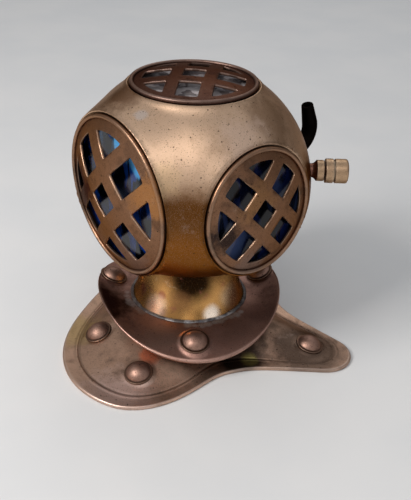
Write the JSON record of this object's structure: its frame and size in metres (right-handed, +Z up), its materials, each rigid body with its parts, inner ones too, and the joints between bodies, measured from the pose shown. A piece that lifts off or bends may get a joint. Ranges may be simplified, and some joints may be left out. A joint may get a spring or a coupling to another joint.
{
  "type": "diving helmet",
  "caption": "Miniature brass diving helmet: spherical bonnet with guarded round windows, inlet and exhaust valve, turning on a flared neck above a riveted collar and breastplate.",
  "frame": {"origin": "middle of the whole part's footprint box, on the surface that it stands on", "axes": "+X along the breastplate's tail, +Y towards the far lobe, which is the plate's long way, +Z up"},
  "size_m": [0.1272, 0.1408, 0.1172],
  "materials": {
    "plate_brass": "aged brass, satin, brown patina",
    "washer_brass": "satin brass",
    "rivet_copper": "pinkish brown brass, satin",
    "collar_copper": "dark copper-brown patina, satin",
    "solder": "pale dull metal",
    "neck_brass": "bright brass, worn",
    "inner_brass": "plain brass",
    "shell_brass": "satin brass-brown with fine pits",
    "frame_bronze": "bronze-brown, satin",
    "grille_bronze": "bronze-brown, satin",
    "pane_glass": "clear glass",
    "inlet_dark": "nearly black brown",
    "valve_dark": "dark brown brass",
    "valve_brass": "greyish brass, satin"
  },
  "bodies": {
    "base": {"breastplate": "plate_brass", "plate_washers": "washer_brass", "plate_rivets": "rivet_copper", "collar": "collar_copper", "collar_washers": "washer_brass", "collar_rivets": "rivet_copper", "solder_ring": "solder", "neck_ring": "neck_brass", "clamp_ring": "inner_brass"},
    "bonnet": {"bonnet_shell": "shell_brass", "bonnet_ring": "shell_brass", "rear_plate": "grille_bronze", "frame_front": "frame_bronze", "frame_left": "frame_bronze", "frame_right": "frame_bronze", "frame_top": "frame_bronze", "frame_rear": "frame_bronze", "grille_front": "grille_bronze", "grille_left": "grille_bronze", "grille_right": "grille_bronze", "grille_top": "grille_bronze", "pane_front": "pane_glass", "pane_left": "pane_glass", "pane_right": "pane_glass", "pane_top": "pane_glass", "keeper_front": "inner_brass", "keeper_left": "inner_brass", "keeper_right": "inner_brass", "keeper_top": "inner_brass", "gooseneck": "inlet_dark", "inlet_nut": "inner_brass", "valve_stem": "valve_dark", "valve_body": "valve_brass", "valve_nut": "inner_brass"},
    "cap": {"valve_cap": "valve_brass"}
  },
  "joints": [
    {"name": "bonnet_turn", "type": "hinge", "parent": "base", "child": "bonnet", "pos_m": [-0.0131, 0, 0.04], "axis": [0, 0, 1], "range_deg": [-16, 29]},
    {"name": "valve_turn", "type": "hinge", "parent": "bonnet", "child": "cap", "pos_m": [0.0403, 0.02263, 0.0768], "axis": [0.9208, 0.3901, 0], "range_deg": [0, 270]}
  ]
}
